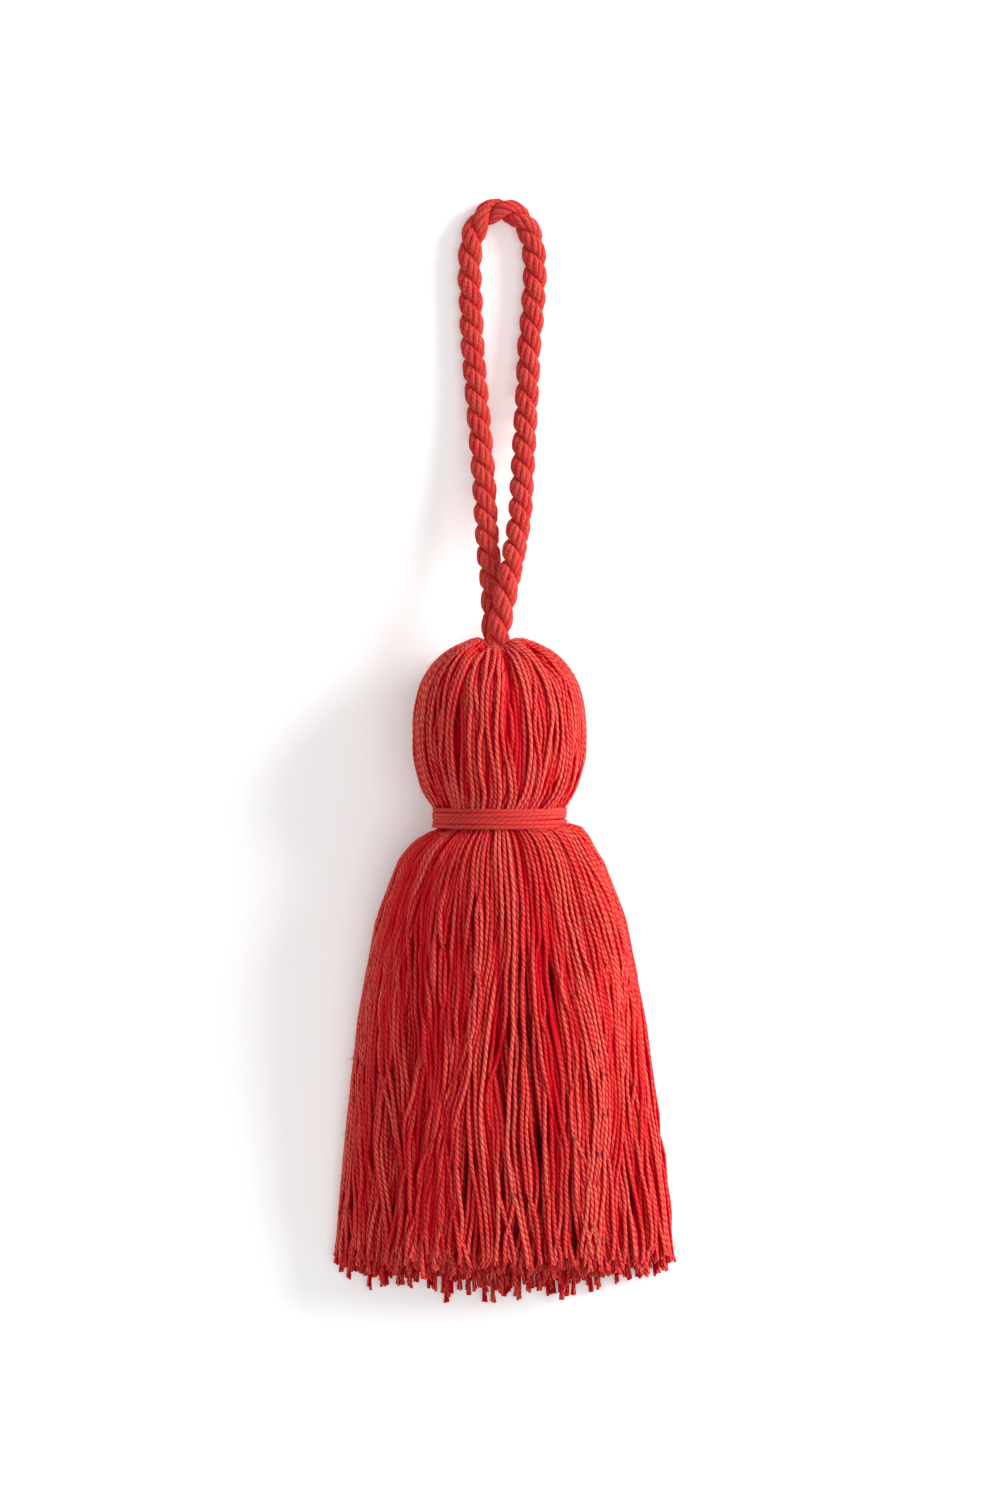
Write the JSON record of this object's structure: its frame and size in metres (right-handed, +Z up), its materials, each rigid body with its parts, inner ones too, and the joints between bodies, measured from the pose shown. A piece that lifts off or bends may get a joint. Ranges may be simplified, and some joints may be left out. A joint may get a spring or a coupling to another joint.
{
  "type": "cotton tassel with a twisted hanging loop",
  "caption": "Cotton yarn tassel lying on its back: a round ribbed head, a wound neck band, a full skirt of cut yarns and a long loop of twisted rope to hang it by.",
  "frame": {"origin": "on the surface the tassel lies on, under the middle of the box round the skein and its neck band", "axes": "+Z up from the surface, +Y along the tassel's axis towards the hanging loop, +X to the right seen from above with the loop at the top"},
  "size_m": [0.0676, 0.2211, 0.0339],
  "materials": {
    "skein_yarn": "plied cotton yarn, soft and matt",
    "band_yarn": "plied cotton yarn wound tight, matt",
    "loop_rope": "two-ply twisted cotton rope, matt"
  },
  "bodies": {
    "root": {"yarn_skein": "skein_yarn", "neck_band": "band_yarn", "hanging_loop": "loop_rope"}
  },
  "joints": []
}
